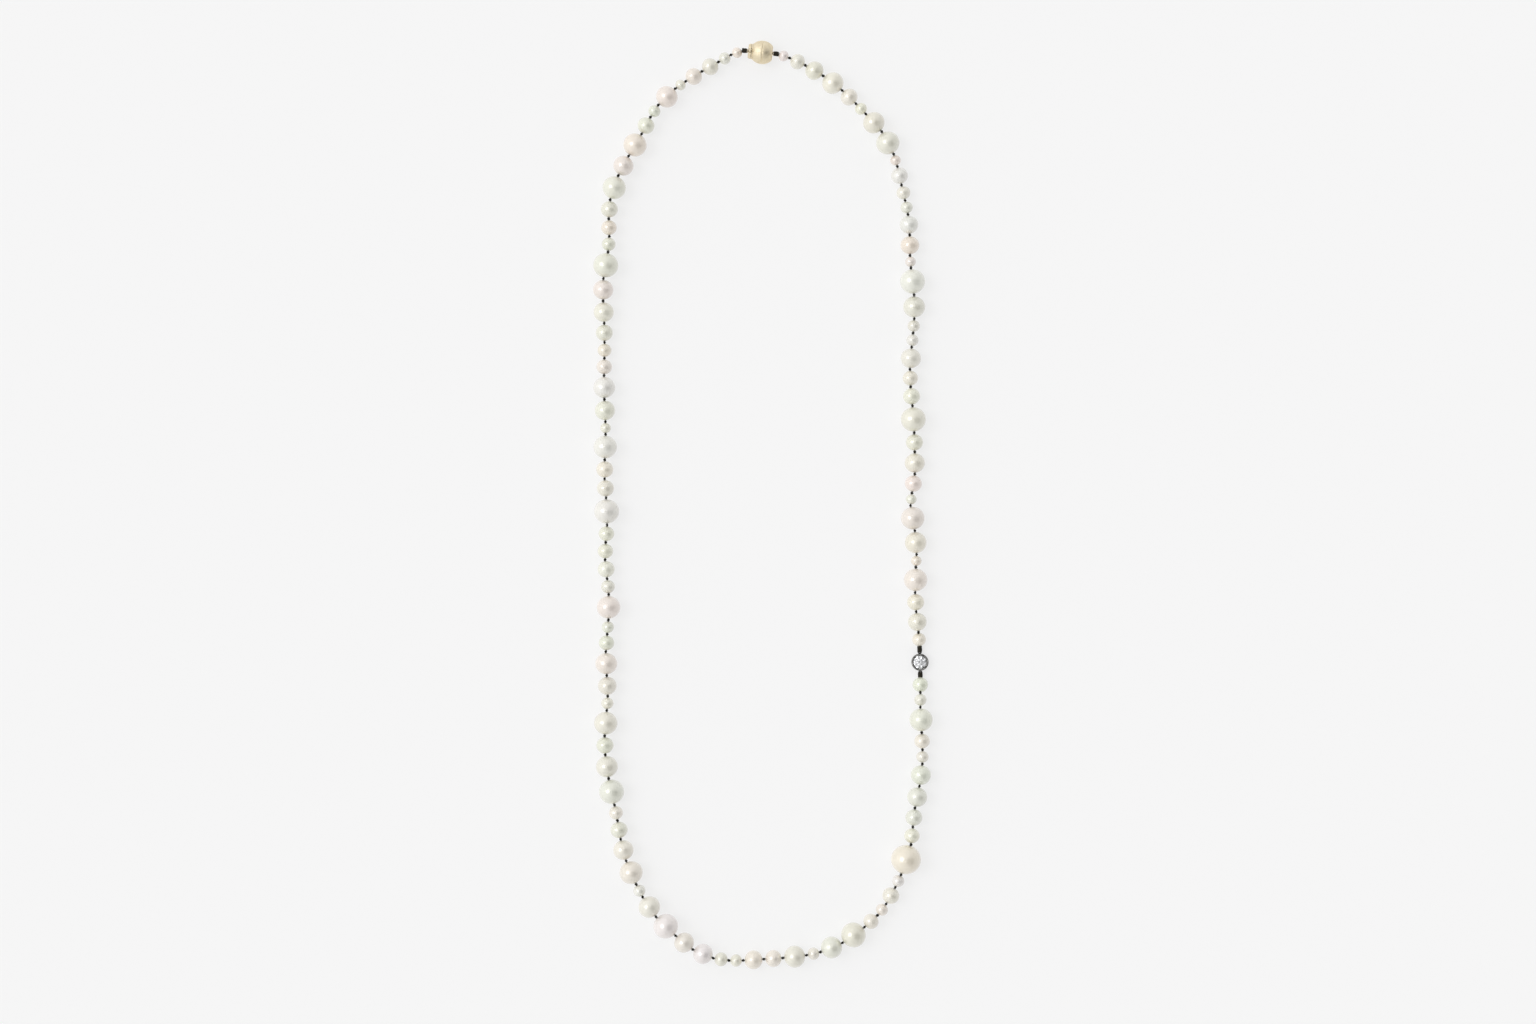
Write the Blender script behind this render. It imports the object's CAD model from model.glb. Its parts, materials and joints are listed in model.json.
import json
import math

import bmesh
import bpy
import numpy as np
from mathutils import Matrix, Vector


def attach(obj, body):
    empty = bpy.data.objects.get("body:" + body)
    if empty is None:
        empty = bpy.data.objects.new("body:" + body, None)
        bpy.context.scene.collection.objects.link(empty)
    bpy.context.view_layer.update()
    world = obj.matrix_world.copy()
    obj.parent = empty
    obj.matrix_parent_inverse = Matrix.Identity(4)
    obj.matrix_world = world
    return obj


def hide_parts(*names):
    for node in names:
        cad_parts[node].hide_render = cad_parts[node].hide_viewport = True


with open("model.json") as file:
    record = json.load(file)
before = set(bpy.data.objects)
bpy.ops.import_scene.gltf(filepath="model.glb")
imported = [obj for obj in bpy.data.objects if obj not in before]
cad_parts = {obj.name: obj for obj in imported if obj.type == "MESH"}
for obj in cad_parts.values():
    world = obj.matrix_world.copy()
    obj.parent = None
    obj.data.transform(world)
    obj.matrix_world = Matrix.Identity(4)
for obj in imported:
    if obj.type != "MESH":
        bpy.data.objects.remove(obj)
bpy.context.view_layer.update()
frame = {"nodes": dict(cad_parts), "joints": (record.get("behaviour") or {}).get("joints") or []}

mm = 0.001
up = np.array([0.0, 0.0, 1.0])


# How a surface becomes a mesh

def unit(vectors):
    return vectors / np.linalg.norm(vectors, axis=-1, keepdims=True)


def patch(points, rowsClosed=False):
    # Quads between neighbouring rows of a (rows, columns, 3) grid whose columns go right round.
    # Each quad corner keeps its place along and around the surface from 0 to 1. The quads are
    # turned over if the volume they enclose comes out negative.
    rows, columns = points.shape[:2]
    row, column = np.meshgrid(np.arange(rows if rowsClosed else rows - 1), np.arange(columns), indexing="ij")
    cornerRow = np.stack([row, row, row + 1, row + 1], -1).reshape(-1, 4)
    cornerColumn = np.stack([column, column + 1, column + 1, column], -1).reshape(-1, 4)
    quads = (cornerRow % rows) * columns + cornerColumn % columns
    place = np.stack([cornerRow / (rows if rowsClosed else rows - 1), cornerColumn / columns], -1)
    flat = points.reshape(-1, 3)
    a, b, c, d = (flat[quads[:, i]] - flat.mean(0) for i in range(4))
    volume = (a * np.cross(b, c)).sum() + (a * np.cross(c, d)).sum()
    if volume < 0:
        quads, place = quads[:, ::-1], place[:, ::-1]
    return {"points": flat, "quads": quads, "place": place}


def meshOf(name, patches, colours=None):
    starts = np.cumsum([0] + [len(p["points"]) for p in patches])
    points = np.concatenate([p["points"] for p in patches])
    quads = np.concatenate([p["quads"] + start for p, start in zip(patches, starts)])
    place = np.concatenate([p["place"] for p in patches])
    mesh = bpy.data.meshes.new(name)
    mesh.from_pydata(points.tolist(), [], quads.tolist())
    mesh.uv_layers.new(name="UVMap").data.foreach_set("uv", place.astype(np.float32).ravel())
    if colours is not None:
        layer = mesh.attributes.new("tint", "FLOAT_COLOR", "POINT")
        each = np.repeat(colours, [len(p["points"]) for p in patches], axis=0)
        layer.data.foreach_set("color", each.astype(np.float32).ravel())
    return mesh


def closePoles(mesh):
    # A row that has shrunk to a point becomes one corner
    work = bmesh.new()
    work.from_mesh(mesh)
    bmesh.ops.remove_doubles(work, verts=work.verts, dist=1e-7)
    work.to_mesh(mesh)
    work.free()


def addPiece(name, mesh, material, body, node, smooth=True):
    if smooth:
        mesh.shade_smooth()
    mesh.materials.append(material)
    piece = bpy.data.objects.new(name, mesh)
    bpy.context.scene.collection.objects.link(piece)
    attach(piece, body)
    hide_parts(node)
    return piece


def rope(path, reference, radius, closed, around, plies=3, pitch=1.1 * mm, lobe=0.12):
    # A tube along a path. Its radius swells by the cosine of plies times the angle round it, less
    # a turn for each pitch of length, so that it looks laid from that many plies.
    following = np.roll(path, -1, 0) if closed else np.concatenate([path[1:], path[-1:]])
    before = np.roll(path, 1, 0) if closed else np.concatenate([path[:1], path[:-1]])
    tangent = unit(following - before)
    side = unit(np.cross(tangent, reference))
    other = np.cross(side, tangent)
    steps = np.linalg.norm(np.diff(path, axis=0), axis=1)
    length = np.concatenate([[0], np.cumsum(steps)])
    if closed:
        whole = length[-1] + np.linalg.norm(path[0] - path[-1])
        pitch = whole / max(1, round(whole / pitch))
    angle = np.linspace(0, 2 * math.pi, around, endpoint=False)[None, :]
    swell = 1 + lobe * np.cos(plies * (angle - 2 * math.pi * length[:, None] / pitch))
    reach = (np.broadcast_to(radius, len(path))[:, None] * swell)[..., None]
    ring = np.cos(angle)[..., None] * side[:, None] + np.sin(angle)[..., None] * other[:, None]
    return patch(path[:, None] + reach * ring, rowsClosed=closed)


def revolved(profile, place, around, rowsClosed=True):
    # A profile of (distance along, distance from) an axis, carried once round it
    along, out = np.array(profile, float).T * mm
    angle = np.linspace(0, 2 * math.pi, around, endpoint=False)[None, :]
    sideways, upwards = out[:, None] * np.cos(angle), out[:, None] * np.sin(angle)
    points = np.stack([along[:, None] + 0 * angle, sideways, upwards], -1)
    return patch(place(points), rowsClosed)


def placer(origin, alongAxis, upAxis=up):
    # Turns points in a fitting's own axes into points on the table
    x = unit(np.array(alongAxis, float))
    y = unit(np.cross(upAxis, x))
    z = np.cross(x, y)
    basis = np.stack([x, y, z])
    return lambda points: np.array(origin, float) + points @ basis


# Materials

def newMaterial(name):
    material = bpy.data.materials.new(name)
    material.use_nodes = True
    tree = material.node_tree
    return material, tree, tree.nodes["Principled BSDF"]


def node(tree, kind, inputs=None, **settings):
    made = tree.nodes.new("ShaderNode" + kind)
    for key, value in settings.items():
        setattr(made, key, value)
    for key, value in (inputs or {}).items():
        if isinstance(value, bpy.types.NodeSocket):
            tree.links.new(value, made.inputs[key])
        else:
            made.inputs[key].default_value = value
    return made


def ramp(tree, fac, stops):
    made = node(tree, "ValToRGB", {"Fac": fac})
    while len(made.color_ramp.elements) < len(stops):
        made.color_ramp.elements.new(0.5)
    for element, (position, colour) in zip(made.color_ramp.elements, stops):
        element.position = position
        element.color = (*colour, 1)
    return made.outputs["Color"]


def grainGroup():
    # Fine lines drawn out along one direction, broken by a cloud of handling marks
    group = bpy.data.node_groups.new("metalGrain", "ShaderNodeTree")
    for label, kind, default in (("Across", "NodeSocketFloat", 900.0), ("Along", "NodeSocketFloat", 60.0)):
        group.interface.new_socket(label, in_out="INPUT", socket_type=kind).default_value = default
    group.interface.new_socket("Lines", in_out="OUTPUT", socket_type="NodeSocketFloat")
    group.interface.new_socket("Marks", in_out="OUTPUT", socket_type="NodeSocketFloat")
    start = group.nodes.new("NodeGroupInput")
    end = group.nodes.new("NodeGroupOutput")
    where = node(group, "TexCoord").outputs["Object"]
    across, along = start.outputs["Across"], start.outputs["Along"]
    stretch = node(group, "CombineXYZ", {"X": across, "Y": along, "Z": along})
    drawn = node(group, "VectorMath", {0: where, 1: stretch.outputs["Vector"]}, operation="MULTIPLY")
    lines = node(group, "TexNoise", {"Vector": drawn.outputs["Vector"],
                                     "Scale": 6.0, "Detail": 3.0, "Roughness": 0.6})
    marks = node(group, "TexNoise", {"Vector": where, "Scale": 900.0, "Detail": 4.0, "Roughness": 0.65})
    group.links.new(lines.outputs["Fac"], end.inputs["Lines"])
    group.links.new(marks.outputs["Fac"], end.inputs["Marks"])
    return group


metalGrain = grainGroup()


def nacreMaterial():
    material, tree, skin = newMaterial("nacre")
    where = node(tree, "TexCoord").outputs["Object"]
    tint = node(tree, "Attribute", attribute_name="tint").outputs["Color"]
    clouds = node(tree, "TexNoise", {"Vector": where, "Scale": 260.0, "Detail": 2.0, "Roughness": 0.5})
    cloud = clouds.outputs["Fac"]
    bloom = ramp(tree, cloud, [(0.3, (0.96, 0.95, 0.93)), (0.7, (1.0, 1.0, 1.0))])
    colour = node(tree, "Mix", {"Factor": 1.0, "A": tint, "B": bloom},
                  data_type="RGBA", blend_type="MULTIPLY")
    relief = node(tree, "TexNoise", {"Vector": where, "Scale": 500.0, "Detail": 1.0, "Roughness": 0.5})
    bump = node(tree, "Bump", {"Height": relief.outputs["Fac"], "Strength": 0.1, "Distance": 0.00004})
    rough = node(tree, "MapRange", {"Value": cloud, "From Min": 0.3, "From Max": 0.7,
                                    "To Min": 0.30, "To Max": 0.38})
    tree.links.new(colour.outputs["Result"], skin.inputs["Base Color"])
    tree.links.new(rough.outputs["Result"], skin.inputs["Roughness"])
    tree.links.new(bump.outputs["Normal"], skin.inputs["Normal"])
    skin.inputs["Metallic"].default_value = 0.18
    skin.inputs["IOR"].default_value = 1.75
    skin.inputs["Coat Weight"].default_value = 1.0
    skin.inputs["Coat Roughness"].default_value = 0.14
    skin.inputs["Coat IOR"].default_value = 1.7
    return material


def silkMaterial():
    material, tree, skin = newMaterial("blackSilk")
    where = node(tree, "TexCoord").outputs["Object"]
    fibre = node(tree, "TexNoise", {"Vector": where, "Scale": 9000.0, "Detail": 2.0}).outputs["Fac"]
    colour = ramp(tree, fibre, [(0.35, (0.008, 0.007, 0.005)), (0.7, (0.040, 0.035, 0.023))])
    bump = node(tree, "Bump", {"Height": fibre, "Strength": 0.5, "Distance": 0.00004})
    rough = node(tree, "MapRange", {"Value": fibre, "To Min": 0.5, "To Max": 0.75})
    tree.links.new(colour, skin.inputs["Base Color"])
    tree.links.new(rough.outputs["Result"], skin.inputs["Roughness"])
    tree.links.new(bump.outputs["Normal"], skin.inputs["Normal"])
    skin.inputs["Sheen Weight"].default_value = 0.05
    skin.inputs["Specular IOR Level"].default_value = 0.15
    return material


def metalMaterial(name, dark, light, rough, across, along, bumpStrength):
    material, tree, skin = newMaterial(name)
    grain = tree.nodes.new("ShaderNodeGroup")
    grain.node_tree = metalGrain
    grain.inputs["Across"].default_value = across
    grain.inputs["Along"].default_value = along
    colour = ramp(tree, grain.outputs["Marks"], [(0.35, dark), (0.65, light)])
    gloss = node(tree, "MapRange", {"Value": grain.outputs["Lines"], "From Min": 0.3, "From Max": 0.7,
                                    "To Min": rough[0], "To Max": rough[1]})
    bump = node(tree, "Bump", {"Height": grain.outputs["Lines"],
                               "Strength": bumpStrength, "Distance": 0.00005})
    tree.links.new(colour, skin.inputs["Base Color"])
    tree.links.new(gloss.outputs["Result"], skin.inputs["Roughness"])
    tree.links.new(bump.outputs["Normal"], skin.inputs["Normal"])
    skin.inputs["Metallic"].default_value = 1.0
    return material


def oxidisedMaterial():
    material = metalMaterial("oxidisedSilver", (0.035, 0.034, 0.032), (0.085, 0.083, 0.078),
                             (0.32, 0.5), 60, 60, 0.25)
    tree = material.node_tree
    skin = tree.nodes["Principled BSDF"]
    worn = node(tree, "Attribute", attribute_name="tint").outputs["Fac"]
    base = skin.inputs["Base Color"].links[0].from_socket
    bright = node(tree, "Mix", {"Factor": worn, "A": base, "B": (0.62, 0.61, 0.59, 1)}, data_type="RGBA")
    tree.links.new(bright.outputs["Result"], skin.inputs["Base Color"])
    return material


def stoneMaterial():
    material, tree, skin = newMaterial("clearStone")
    where = node(tree, "TexCoord").outputs["Object"]
    haze = node(tree, "TexNoise", {"Vector": where, "Scale": 700.0, "Detail": 2.0}).outputs["Fac"]
    rough = node(tree, "MapRange", {"Value": haze, "To Min": 0.0, "To Max": 0.02})
    tree.links.new(rough.outputs["Result"], skin.inputs["Roughness"])
    skin.inputs["Base Color"].default_value = (0.87, 0.88, 0.90, 1)
    skin.inputs["Transmission Weight"].default_value = 1.0
    skin.inputs["IOR"].default_value = 2.4
    return material


nacre = nacreMaterial()
blackSilk = silkMaterial()
gold = metalMaterial("satinGold", (0.78, 0.68, 0.49), (0.88, 0.79, 0.60), (0.46, 0.6), 60, 500, 0.35)
oxidised = oxidisedMaterial()
clearStone = stoneMaterial()
print("materials made")


# Where the pearls are: each drilled pearl of a CAD node gives its middle, its drilled axis and its size

stringing = {
    "gap": 1.0 * mm,        # between two pearls
    "bore": 0.4 * mm,       # radius of a drill hole
    "firstKnot": 5.8 * mm,  # from the clasp's seam to the first knot on its right
}


def pearlsIn(nodeName):
    # Corners that meet are made one, then each corner takes the lowest number among the corners
    # of its triangles until every solid has a single number. The middle and the inertia of a solid
    # are the sums over its triangles' tetrahedra, and the drill hole runs along the short axis.
    mesh = frame["nodes"][nodeName].data
    points = np.empty(len(mesh.vertices) * 3)
    mesh.vertices.foreach_get("co", points)
    corners = np.empty(len(mesh.loops), np.int64)
    mesh.loops.foreach_get("vertex_index", corners)
    points, index = np.unique(np.round(points.reshape(-1, 3) * 1e7), axis=0, return_inverse=True)
    points, triangles = points * 1e-7, index.reshape(-1)[corners].reshape(-1, 3)
    number = np.arange(len(points))
    while True:
        lowest = number.copy()
        np.minimum.at(lowest, triangles.ravel(), np.repeat(number[triangles].min(1), 3))
        lowest = lowest[lowest]
        if (lowest == number).all():
            break
        number = lowest
    found = []
    for solid in np.unique(number):
        mine = points[number == solid]
        guess = mine.mean(0)
        a, b, c = (points[triangles[number[triangles[:, 0]] == solid][:, i]] - guess for i in range(3))
        volume = (a * np.cross(b, c)).sum(1) / 6
        middle = guess + (volume[:, None] * (a + b + c)).sum(0) / 4 / volume.sum()
        total = a + b + c
        inertia = sum(np.einsum("n,ni,nj->ij", volume, x, x) for x in (a, b, c, total)) / 20
        axis = np.linalg.eigh(inertia)[1][:, 0]
        reach = (mine - middle) @ axis
        out = np.linalg.norm((mine - middle) - reach[:, None] * axis, axis=1)
        rim = stringing["bore"] / out.max()  # the hole has cut the ends off
        whole = 2 * np.abs(reach).max() / math.sqrt(1 - rim ** 2)
        found.append({"middle": middle, "axis": axis, "length": whole, "width": 2 * out.max()})
    return found


loosePearls = []
for nodeName in sorted(frame["nodes"]):
    if nodeName.startswith("pearls_"):
        section = nodeName[len("pearls_"):]
        loosePearls += [dict(pearl, section=section) for pearl in pearlsIn(nodeName)]

joints = {joint["name"]: joint for joint in frame["joints"]}
claspJoint, stationJoint = joints["clasp_turn"], joints["station_turn"]
claspAt = placer(claspJoint["pos_m"], claspJoint["axis"])
stationAt = placer(stationJoint["pos_m"], stationJoint["axis"])


def inStringingOrder(pearls):
    # From the clasp's right-hand side, the next pearl is always the one whose end is nearest
    waiting, ordered = list(pearls), []
    here = claspAt(np.array([stringing["firstKnot"], 0, 0]))
    while waiting:
        gaps = [np.linalg.norm(p["middle"] - here) - p["length"] / 2 for p in waiting]
        nearest = waiting.pop(int(np.argmin(gaps)))
        if (nearest["middle"] - here) @ nearest["axis"] < 0:
            nearest["axis"] = -nearest["axis"]
        reach = nearest["axis"] * (nearest["length"] + stringing["gap"]) / 2
        nearest["start"], nearest["end"] = nearest["middle"] - reach, nearest["middle"] + reach
        here = nearest["end"]
        ordered.append(nearest)
    return ordered


pearls = inStringingOrder(loosePearls)
print(len(pearls), "pearls found")


# Pearls

pearlLook = {
    "around": 52, "along": 30,
    "offRound": 0.007,      # long waves, share of the radius
    "rings": 0.0008,        # growth rings about the drill hole
    "dimple": 0.007,        # deepest dimple
    "rimFade": 0.45 * mm,   # the drilled rim stays round
    "tints": [  # colour, and how often it is drawn
        ((0.84, 0.83, 0.78), 1), ((0.84, 0.81, 0.71), 3), ((0.80, 0.80, 0.69), 3),
        ((0.86, 0.79, 0.72), 2), ((0.85, 0.79, 0.68), 1),
    ],
    "tintSeed": 17,
    "tintSpread": 0.015,
}


def pearlPatch(pearl, dice):
    # An ellipsoid about the drill hole. Each point's distance from the middle is scaled by 1 plus
    # five long sine waves over its direction, plus faint rings, less two soft dimples. The hole
    # runs from rim to rim and closes the surface.
    look, half, radius = pearlLook, pearl["length"] / 2, pearl["width"] / 2
    rim = math.asin(stringing["bore"] / radius)
    polar = np.linspace(rim, math.pi - rim, look["along"])[:, None]
    turn = np.linspace(0, 2 * math.pi, look["around"], endpoint=False)[None, :]
    sideways, upwards = np.sin(polar) * np.cos(turn), np.sin(polar) * np.sin(turn)
    direction = np.stack([np.cos(polar) + 0 * turn, sideways, upwards], -1)
    waves = unit(dice.normal(size=(5, 3))) * np.linspace(1.6, 4.2, 5)[:, None]
    strength = look["offRound"] * dice.uniform(0.25, 1.0, 5) * np.linspace(1.0, 0.35, 5)
    change = (np.sin(direction @ waves.T + dice.uniform(0, 6.28, 5)) * strength).sum(-1)
    ringDepth = look["rings"] * dice.uniform(0, 1)
    change += ringDepth * np.sin(dice.integers(7, 13) * polar + dice.uniform(0, 6.28))
    for place in unit(dice.normal(size=(2, 3))):
        depth = look["dimple"] * dice.uniform(0, 1) ** 2
        change -= depth * np.exp((direction @ place - 1) / dice.uniform(0.006, 0.02))
    fade = 1 - np.exp(-((np.sin(polar) * radius - stringing["bore"]) / look["rimFade"]) ** 2)
    skin = direction * [half, radius, radius] * (1 + fade * change)[..., None]
    deep = half * math.cos(rim) * np.array([-0.96, -0.4, 0.4, 0.96])[:, None]
    bore = np.stack([deep + 0 * turn, stringing["bore"] * 0.97 * np.cos(turn) + 0 * deep,
                     stringing["bore"] * 0.97 * np.sin(turn) + 0 * deep], -1)
    side = unit(np.cross(pearl["axis"], up))
    basis = np.stack([pearl["axis"], side, np.cross(pearl["axis"], side)])
    return patch(pearl["middle"] + np.concatenate([skin, bore]) @ basis, rowsClosed=True)


tintColours = np.array([colour for colour, share in pearlLook["tints"]])
tintShares = np.array([share for colour, share in pearlLook["tints"]], float)
tintDice = np.random.default_rng(pearlLook["tintSeed"])
tintDraw = tintDice.choice(len(tintColours), len(pearls), p=tintShares / tintShares.sum())
for number, pearl in enumerate(pearls):
    dice = np.random.default_rng(400 + number)
    spread = 1 + pearlLook["tintSpread"] * dice.normal(size=3)
    pearl["colour"] = np.append(tintColours[tintDraw[number]] * spread, 1.0)
    pearl["patch"] = pearlPatch(pearl, dice)

sections = list(dict.fromkeys(pearl["section"] for pearl in pearls))
for section in sections:
    mine = [pearl for pearl in pearls if pearl["section"] == section]
    mesh = meshOf("pearls_" + section, [p["patch"] for p in mine], np.array([p["colour"] for p in mine]))
    addPiece("Pearls_" + section, mesh, nacre, "strand_" + section, "pearls_" + section)
print("pearls made")


# Silk: the thread through every pearl, with a tight knot in each gap

silkLook = {
    "thread": 0.27 * mm,
    "knotTube": 0.2 * mm, "knotRing": 0.29 * mm, "knotSwing": 0.12 * mm, "knotLength": 0.23 * mm,
    "knotSamples": 36, "knotAround": 6, "knotPitch": 0.9 * mm,
    "tip": 1e-6,            # the closed point at each end of a thread
    "bareEnd": 0.5 * mm,    # no knot this near to a fitting or a pivot
}


def threadPatch(links):
    # The thread is straight from knot to knot, with close rows only where it shows
    near = np.array([0, 0.2, 0.4, 0.6, 0.8, 1.0, 1.3]) * mm
    path = []
    for start, end in links:
        whole = np.linalg.norm(end - start)
        spots = np.concatenate([near, whole - near[:0:-1]])
        path.append(start + spots[:, None] * (end - start) / whole)
    path = np.concatenate(path + [links[-1][1][None]])
    before = path[:1] - silkLook["tip"] * unit(path[1] - path[0])
    after = path[-1:] + silkLook["tip"] * unit(path[-1] - path[-2])
    path = np.concatenate([before, path, after])
    radius = np.full(len(path), silkLook["thread"])
    radius[[0, -1]] = 0
    return rope(path, up, radius, False, 10)


def knotPatch(centre, axis, dice):
    # A tube along a trefoil: three swings out and back while it goes twice round the thread
    look = silkLook
    size = dice.uniform(0.92, 1.08)
    t = np.linspace(0, 2 * math.pi, look["knotSamples"], endpoint=False)
    reach = (look["knotRing"] + look["knotSwing"] * np.cos(3 * t)) * size
    roll = dice.uniform(0, 6.28)
    side = unit(np.cross(axis, up))
    basis = np.stack([axis, side, np.cross(axis, side)])
    forward = look["knotLength"] * size * np.sin(3 * t)
    local = np.stack([forward, reach * np.cos(2 * t + roll), reach * np.sin(2 * t + roll)], -1)
    outward = np.stack([0.4 * np.sin(3 * t), np.cos(2 * t + roll), np.sin(2 * t + roll)], -1)
    return rope(centre + local @ basis, outward @ basis, look["knotTube"] * size, True,
                look["knotAround"], pitch=look["knotPitch"])


def sectionOf(bodyName):
    return bodyName[len("strand_"):]


strandJoints = [joint for joint in frame["joints"] if joint["child"].startswith("strand_")]
pivots = {sectionOf(joint["child"]): np.array(joint["pos_m"]) for joint in strandJoints}
spans = [np.linalg.norm(after["start"] - before["end"]) for before, after in zip(pearls, pearls[1:])]
lastRight = int(np.argmax(spans))  # the stone hangs in the widest span
bareEnds = [pearls[0]["start"], pearls[lastRight]["end"], pearls[lastRight + 1]["start"], pearls[-1]["end"]]

for section in sections:
    mine = [i for i, pearl in enumerate(pearls) if pearl["section"] == section]
    runs = [mine]
    if lastRight in mine and lastRight + 1 in mine:
        split = mine.index(lastRight) + 1
        runs = [mine[:split], mine[split:]]
    patches = []
    for run in runs:
        patches.append(threadPatch([(pearls[i]["start"], pearls[i]["end"]) for i in run]))
        spots = [pearls[run[0]]["start"]] + [pearls[i]["end"] for i in run]
        grain = [pearls[run[0]]["axis"]] + [pearls[i]["axis"] for i in run]
        for spot, axis in zip(spots, grain):
            taken = bareEnds + ([pivots[section]] if section in pivots else [])
            if min(np.linalg.norm(spot - other) for other in taken) > silkLook["bareEnd"]:
                dice = np.random.default_rng(int(abs(spot[0] * 7e5) + abs(spot[1] * 9e5)))
                patches.append(knotPatch(spot, axis, dice))
    mesh = meshOf("silk_" + section, patches)
    closePoles(mesh)
    addPiece("Silk_" + section, mesh, blackSilk, "strand_" + section, "silk_" + section)
print("silk made")


# Whippings: bound silk against the pearl, and three loops of it through the ring

whippingLook = {
    "radius": 0.9, "endTaper": 0.12, "lump": 0.06, "coilPitch": 0.36, "coilDepth": 0.10,
    "start": 0.45, "loopMiddle": 1.34, "loopRadius": 0.5, "loopSilk": 0.19,
    "loopOffsets": (-0.26, 0.0, 0.26), "loopAround": 10, "loopPitch": 0.8,
}


def whippingPatches(place, reach, dice):
    # Bound coils: the radius is a lumpy barrel plus the height of a coil, which is the absolute
    # cosine of the distance along in coil pitches less the turn round it
    look = whippingLook
    along = np.linspace(look["start"], reach, 44)[:, None]
    turn = np.linspace(0, 2 * math.pi, 22, endpoint=False)[None, :]
    share = (along - look["start"]) / (reach - look["start"])
    barrel = look["radius"] * (1 - look["endTaper"] * np.abs(2 * share - 1) ** 3)
    lumps = look["lump"] * np.sin(5 * share + turn + dice.uniform(0, 6.28)) * np.cos(2 * turn + 3 * share)
    coil = look["coilDepth"] * np.abs(np.cos(math.pi * (along / look["coilPitch"] - turn / (2 * math.pi))))
    out = barrel + lumps + coil - look["coilDepth"] * 0.5
    along, out = along + 0 * turn, out
    along = np.concatenate([along[:1], along, along[-1:]])
    out = np.concatenate([out[:1] * 0, out, out[-1:] * 0])
    body = np.stack([along, out * np.cos(turn), out * np.sin(turn)], -1) * mm
    found = [patch(place(body))]
    for number, offset in enumerate(look["loopOffsets"]):
        angle = np.linspace(0, 2 * math.pi, 40, endpoint=False)
        wide = look["loopRadius"] * (1.0 + 0.12 * (number - 1))
        ring = np.stack([look["loopMiddle"] + wide * np.cos(angle),
                         offset + 0.05 * np.sin(angle + number), wide * np.sin(angle)], -1) * mm
        reference = np.broadcast_to(np.array([0.0, 1.0, 0.0]), ring.shape)
        origin = place(np.zeros(3))
        found.append(rope(place(ring), place(reference) - origin, look["loopSilk"] * mm, True,
                          look["loopAround"], pitch=look["loopPitch"] * mm))
    return found


def facing(placeOf, distance, turned):
    # Axes whose X runs outwards from a face that carries a ring
    sign = -1.0 if turned else 1.0
    flip = np.array([sign, sign, 1.0])
    return lambda points: placeOf((points + np.array([distance * mm, 0, 0])) * flip)


ringSizes = {"middle": 0.72, "radius": 0.6, "wire": 0.22}
ringFaces = {"bezel": 3.2, "ballEnd": 3.9, "tongueEnd": 5.3}  # how far out each face lies, in mm
fittings = [
    # name of the whipping, ring, reach to the pearl, axes,
    # body of the silk, body of the ring, metal, slot
    ("whipping_station_upper", "station_ring_upper", 3.1, facing(stationAt, ringFaces["bezel"], True),
     "strand_right_4", "station", oxidised, "silver"),
    ("whipping_station_lower", "station_ring_lower", 2.7, facing(stationAt, ringFaces["bezel"], False),
     "strand_right_4", "station", oxidised, "silver"),
    ("whipping_clasp_right", "clasp_ball_ring", 2.4, facing(claspAt, ringFaces["ballEnd"], False),
     "strand_right_9", "clasp_ball", gold, "gold"),
    ("whipping_clasp_left", "clasp_tongue_ring", 2.4, facing(claspAt, ringFaces["tongueEnd"], True),
     "strand_left_9", "clasp_tongue", gold, "gold"),
]
for number, (bound, ringNode, reach, place, silkBody, ringBody, metal, metalSlot) in enumerate(fittings):
    mesh = meshOf(bound, whippingPatches(place, reach, np.random.default_rng(60 + number)))
    closePoles(mesh)
    addPiece("Bound_" + bound, mesh, blackSilk, silkBody, bound)
    angle = np.linspace(0, 2 * math.pi, 40, endpoint=False)
    outwards = ringSizes["middle"] + ringSizes["radius"] * np.cos(angle)
    circle = np.stack([outwards, ringSizes["radius"] * np.sin(angle), 0 * angle], -1) * mm
    wire = rope(place(circle), np.broadcast_to(up, circle.shape), ringSizes["wire"] * mm, True, 14, lobe=0.0)
    mesh = meshOf(ringNode, [wire], np.array([[0.0, 0.0, 0.0, 1.0]]))
    addPiece("Ring_" + ringNode, mesh, metal, ringBody, ringNode)
print("whippings and rings made")


# The stone and its bezel

bezelLook = {
    "profile": [  # height over the table, distance out
        (0.0, 0.0), (0.0, 1.6), (0.0, 2.85), (0.06, 3.07), (0.22, 3.18), (0.5, 3.2), (1.6, 3.2),
        (2.5, 3.2), (2.78, 3.17), (2.93, 3.07), (3.0, 2.9), (2.98, 2.72), (2.91, 2.56),
        (2.82, 2.46), (2.76, 2.46), (2.74, 2.54), (2.6, 2.55),
        (1.4, 1.35), (0.4, 0.3), (0.35, 0.2), (0.35, 0.0),
    ],
    "wornFrom": 2.85, "wornTo": 3.0, "around": 96,
}


def bezelMesh():
    # The profile goes round the upright axis, and the silver is rubbed bright along the top of the rim
    look = bezelLook
    base = np.array(stationJoint["pos_m"], float) * [1, 1, 0]
    place = placer(base, up, np.array(stationJoint["axis"], float))
    made = revolved(look["profile"], place, look["around"], rowsClosed=False)
    mesh = meshOf("station_bezel", [made], np.array([[0.0, 0.0, 0.0, 1.0]]))
    height = made["points"][:, 2] / mm
    away = made["points"][:, :2] - base[:2]
    angle = np.arctan2(away[:, 1], away[:, 0])
    worn = np.clip((height - look["wornFrom"]) / (look["wornTo"] - look["wornFrom"]), 0, 1)
    worn *= 0.35 + 0.3 * np.sin(3 * angle + 1.0) * np.sin(7 * angle)
    colours = np.stack([worn, worn, worn, np.ones_like(worn)], -1)
    mesh.attributes["tint"].data.foreach_set("color", colours.astype(np.float32).ravel())
    closePoles(mesh)
    return mesh


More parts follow.
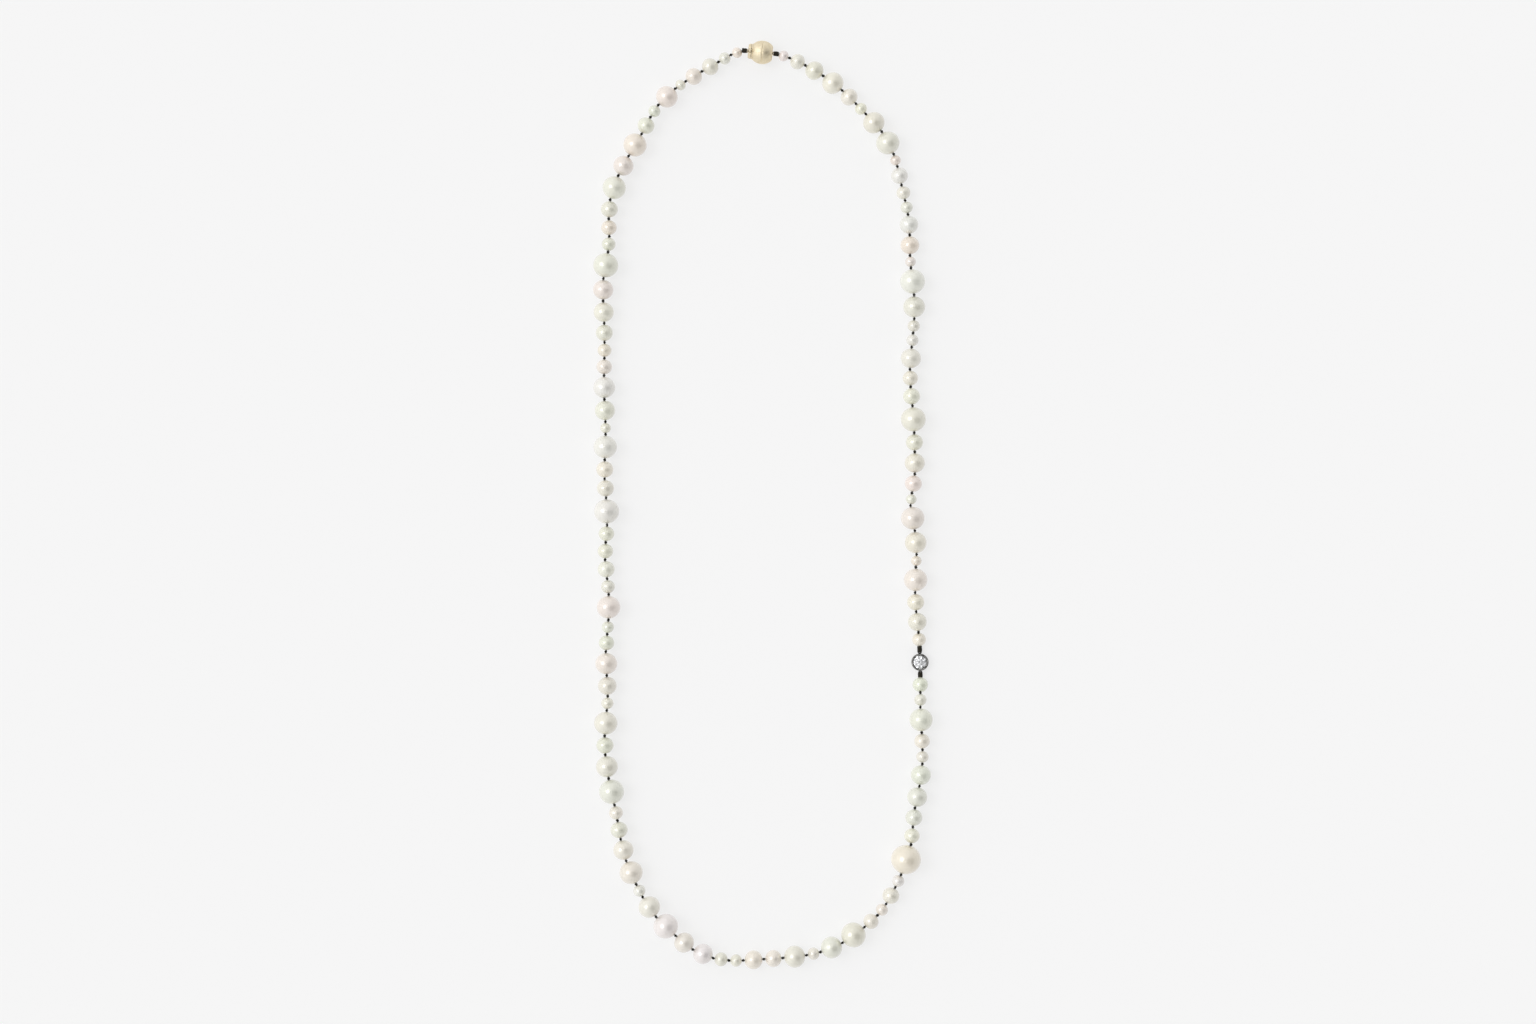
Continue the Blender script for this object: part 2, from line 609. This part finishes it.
addPiece("Bezel", bezelMesh(), oxidised, "station", "station_bezel")

stoneCut = {
    "girdle": 2.5, "girdleLow": 2.6, "girdleHigh": 2.75, "table": 1.4, "top": 3.5,
    "starReach": 1.98, "culet": 0.45, "lowerReach": 0.62,
}


def stoneMesh():
    # A round brilliant: table, 8 stars, 8 kites, 16 upper halves, a girdle, 16 lower halves and
    # 8 pavilion mains. The rings of corners are chosen so that every kite is flat.
    cut = stoneCut
    main = np.arange(8) * math.pi / 4
    half = main + math.pi / 8
    flat = math.cos(math.pi / 8)
    starShare = (cut["starReach"] * flat - cut["table"]) / (cut["girdle"] - cut["table"])
    starHigh = cut["top"] - starShare * (cut["top"] - cut["girdleHigh"])
    lowerHigh = cut["culet"] + cut["lowerReach"] * flat / cut["girdle"] * (cut["girdleLow"] - cut["culet"])

    def ring(angle, out, height):
        return np.stack([out * np.cos(angle), out * np.sin(angle), 0 * angle + height], -1)

    both = np.arange(16) * math.pi / 8
    points = np.concatenate([
        ring(main, cut["table"], cut["top"]), ring(half, cut["starReach"], starHigh),
        ring(both, cut["girdle"], cut["girdleHigh"]), ring(both, cut["girdle"], cut["girdleLow"]),
        ring(half, cut["lowerReach"], lowerHigh), [[0, 0, cut["culet"]]],
    ])
    i = np.arange(8)
    j = (i + 1) % 8
    table, star, high, low, deep, point = 0, 8, 16, 32, 48, 56
    k, kNext, mid = 2 * i, (2 * i + 2) % 16, 2 * i + 1
    faces = [list(range(8))]
    faces += np.stack([table + i, star + i, table + j], -1).tolist()
    faces += np.stack([table + i, star + (i - 1) % 8, high + k, star + i], -1).tolist()
    faces += np.stack([star + i, high + k, high + mid], -1).tolist()
    faces += np.stack([star + i, high + mid, high + kNext], -1).tolist()
    g = np.arange(16)
    faces += np.stack([high + g, low + g, low + (g + 1) % 16, high + (g + 1) % 16], -1).tolist()
    faces += np.stack([low + k, deep + i, low + mid], -1).tolist()
    faces += np.stack([low + mid, deep + i, low + kNext], -1).tolist()
    faces += np.stack([low + k, deep + (i - 1) % 8, np.full(8, point), deep + i], -1).tolist()
    place = placer(np.array(stationJoint["pos_m"], float) * [1, 1, 0], stationJoint["axis"])
    mesh = bpy.data.meshes.new("station_stone")
    mesh.from_pydata(place(points * mm).tolist(), [], faces)
    return mesh


addPiece("Brilliant", stoneMesh(), clearStone, "station", "station_stone", smooth=False)
print("stone and bezel made")


# The clasp

ballLook = {
    "reach": 4.8, "radius": 4.4, "wall": 0.4,
    "mouth": -3.6, "closedEnd": 3.9, "seamDrop": 0.09, "seamWidth": 0.12, "around": 128,
    "endRound": [(0.12, 0.0), (0.03, 0.10), (0.0, 0.28)],  # back from the closed end, in from the side
    "endRing": 0.4,         # share of the end's radius that carries one more row
}


def ellipse(x, reach, radius):
    return radius * np.sqrt(np.clip(1 - (x / reach) ** 2, 0, 1))


def ballProfile(start, end, seamAt, closedEnd):
    # The radius at a distance x from the seam is the ball's radius times the root of 1 less the
    # square of x over its reach. The edge at the seam is eased, and the wall turns back inside.
    look = ballLook
    x = np.linspace(start, end, 26)
    seam = look["seamDrop"] * np.exp(-((x - seamAt) / look["seamWidth"]) ** 2)
    outer = ellipse(x, look["reach"], look["radius"]) - seam
    stop = look["wall"] if closedEnd else 0.0
    inside = np.linspace(end - stop, start, 18)
    inner = ellipse(inside, look["reach"] - look["wall"], look["radius"] - look["wall"])
    rows = list(zip(x, outer))
    if closedEnd:
        rows.pop()
        rows += [(end - back, outer[-1] - drop) for back, drop in look["endRound"]]
        rows += [(end, outer[-1] * look["endRing"]), (end, 0.0), (end - look["wall"], 0.0)]
    return rows + list(zip(inside, inner))


def ballHalf(name, end, closedEnd):
    profile = ballProfile(0.0, end, 0.0, closedEnd)
    mesh = meshOf(name, [revolved(profile, claspAt, ballLook["around"])])
    closePoles(mesh)
    return mesh


mouthHalf = ballHalf("ball_mouth_half", ballLook["mouth"], False)
closedHalf = ballHalf("ball_closed_half", ballLook["closedEnd"], True)
addPiece("Ball_mouth_half", mouthHalf, gold, "clasp_ball", "clasp_ball_mouth_half")
addPiece("Ball_closed_half", closedHalf, gold, "clasp_ball", "clasp_ball_closed_half")

capDome = {"from": 4.1, "to": 5.3, "drop": 0.4, "radius": 2.9, "cuts": 5}  # in mm, from the seam


def domed(mesh, work):
    # The end cap is cut across at a few places, and every ring of corners beyond the first is drawn
    # in by the square of its share of the way out
    axis = unit(np.array(claspJoint["axis"], float))
    origin = np.array(claspJoint["pos_m"], float)
    for step in np.linspace(capDome["from"], capDome["to"], capDome["cuts"] + 2)[1:-1]:
        spot = origin - axis * step * mm
        everything = work.verts[:] + work.edges[:] + work.faces[:]
        bmesh.ops.bisect_plane(work, geom=everything, plane_co=spot, plane_no=axis)
    work.to_mesh(mesh)
    points = np.empty(len(mesh.vertices) * 3)
    mesh.vertices.foreach_get("co", points)
    away = points.reshape(-1, 3) - origin
    reach = away @ axis
    share = np.clip((-reach / mm - capDome["from"]) / (capDome["to"] - capDome["from"]), 0, 1)
    out = away - reach[:, None] * axis
    shrink = 1 - capDome["drop"] * share ** 2 / capDome["radius"]
    mesh.vertices.foreach_set("co", (origin + reach[:, None] * axis + out * shrink[:, None]).ravel())


def softened(nodeName, pieceName, body, width, segments=3, dome=False):
    # The CAD shape with its corners joined, its flat faces whole and its edges rounded
    mesh = frame["nodes"][nodeName].data.copy()
    mesh.materials.clear()
    work = bmesh.new()
    work.from_mesh(mesh)
    bmesh.ops.remove_doubles(work, verts=work.verts, dist=2e-6)
    bmesh.ops.dissolve_limit(work, angle_limit=math.radians(1), verts=work.verts, edges=work.edges)
    if dome:
        domed(mesh, work)
    else:
        work.to_mesh(mesh)
    work.free()
    piece = addPiece(pieceName, mesh, gold, body, nodeName)
    bevel = piece.modifiers.new("round", "BEVEL")
    bevel.width = width * mm
    bevel.segments = segments
    bevel.limit_method = "ANGLE"
    bevel.angle_limit = math.radians(32)
    bevel.harden_normals = True
    return piece


softened("clasp_mouth_plate", "Mouth_plate", "clasp_ball", 0.08)
softened("clasp_tongue_end_cap", "Tongue_end_cap", "clasp_tongue", 0.16, dome=True)
softened("clasp_tongue_lower_leaf", "Tongue_lower_leaf", "clasp_tongue", 0.06)
softened("clasp_tongue_spring_leaf", "Tongue_spring_leaf", "clasp_spring", 0.1)
print("clasp made")


# The table, the light and the camera

studio = {
    "tableSize": 40.0, "tableColour": (0.25, 0.25, 0.25), "tableGlow": 0.690,
    "bright": 1.06, "dim": 0.74, "edge": 0.5,
    "lampDirection": (-0.56, 0.12, 0.82), "lamp": 3.2, "lampEdge": (0.955, 0.985),
    "splitDirection": (-1.0, 0.4, 0.0), "backdrop": 0.91,
    "shade": 0.14, "shadeEdge": (0.80, 0.93), "shadeDirection": (0.56, -0.16, 0.81),  # a dim patch
}


def makeTable():
    side = studio["tableSize"] / 2
    mesh = bpy.data.meshes.new("table")
    corners = [(-side, -side, 0), (side, -side, 0), (side, side, 0), (-side, side, 0)]
    mesh.from_pydata(corners, [], [(0, 1, 2, 3)])
    material, tree, skin = newMaterial("paleTable")
    where = node(tree, "TexCoord").outputs["Object"]
    tooth = node(tree, "TexNoise", {"Vector": where, "Scale": 900.0, "Detail": 2.0}).outputs["Fac"]
    bump = node(tree, "Bump", {"Height": tooth, "Strength": 0.02, "Distance": 0.0001})
    tree.links.new(bump.outputs["Normal"], skin.inputs["Normal"])
    skin.inputs["Base Color"].default_value = (*studio["tableColour"], 1)
    skin.inputs["Roughness"].default_value = 0.9
    skin.inputs["Specular IOR Level"].default_value = 0.0
    skin.inputs["Emission Color"].default_value = (1, 1, 1, 1)
    skin.inputs["Emission Strength"].default_value = studio["tableGlow"]
    mesh.materials.append(material)
    table = bpy.data.objects.new("Table", mesh)
    bpy.context.scene.collection.objects.link(table)


def eased(tree, value, source, target):
    made = node(tree, "MapRange", {"Value": value, "From Min": source[0], "From Max": source[1],
                                   "To Min": target[0], "To Max": target[1]}, interpolation_type="SMOOTHSTEP")
    return made.outputs["Result"]


def makeLight():
    # A sky that fades from one side to the other, with a soft lamp in the bright side and a dim
    # patch in the other
    world = bpy.data.worlds.new("studio")
    bpy.context.scene.world = world
    world.use_nodes = True
    tree = world.node_tree
    tree.nodes.clear()
    sky = node(tree, "TexCoord").outputs["Generated"]
    split = Vector(studio["splitDirection"]).normalized()
    towards = node(tree, "VectorMath", {0: sky, 1: split}, operation="DOT_PRODUCT").outputs["Value"]
    half = eased(tree, towards, (-studio["edge"], studio["edge"]), (studio["dim"], studio["bright"]))
    lampway = Vector(studio["lampDirection"]).normalized()
    near = node(tree, "VectorMath", {0: sky, 1: lampway}, operation="DOT_PRODUCT").outputs["Value"]
    lamp = eased(tree, near, studio["lampEdge"], (0.0, studio["lamp"]))
    both = node(tree, "Math", {0: half, 1: lamp}, operation="ADD").outputs["Value"]
    patchway = Vector(studio["shadeDirection"]).normalized()
    nearPatch = node(tree, "VectorMath", {0: sky, 1: patchway}, operation="DOT_PRODUCT").outputs["Value"]
    shade = eased(tree, nearPatch, studio["shadeEdge"], (1.0, studio["shade"]))
    total = node(tree, "Math", {0: both, 1: shade}, operation="MULTIPLY").outputs["Value"]
    lit = node(tree, "Background", {"Strength": total})
    seen = node(tree, "Background", {"Strength": studio["backdrop"]})
    for shader in (lit, seen):
        shader.inputs["Color"].default_value = (1, 1, 1, 1)
    path = node(tree, "LightPath").outputs["Is Camera Ray"]
    mixed = node(tree, "MixShader", {0: path, 1: lit.outputs["Background"], 2: seen.outputs["Background"]})
    node(tree, "OutputWorld", {"Surface": mixed.outputs["Shader"]})


cameraLook = {"lens": 85.0, "height": 1.367, "aim": (1.9 * mm, -2.6 * mm, 4.2 * mm)}

makeTable()
makeLight()
cameraData = bpy.data.cameras.new("camera")
cameraData.lens = cameraLook["lens"]
camera = bpy.data.objects.new("Camera", cameraData)
bpy.context.scene.collection.objects.link(camera)
aim = Vector(cameraLook["aim"])
camera.location = aim + Vector((0, 0, cameraLook["height"]))
camera.rotation_euler = (0, 0, 0)
bpy.context.scene.camera = camera
bpy.context.scene.view_settings.view_transform = "Standard"
print("studio made")
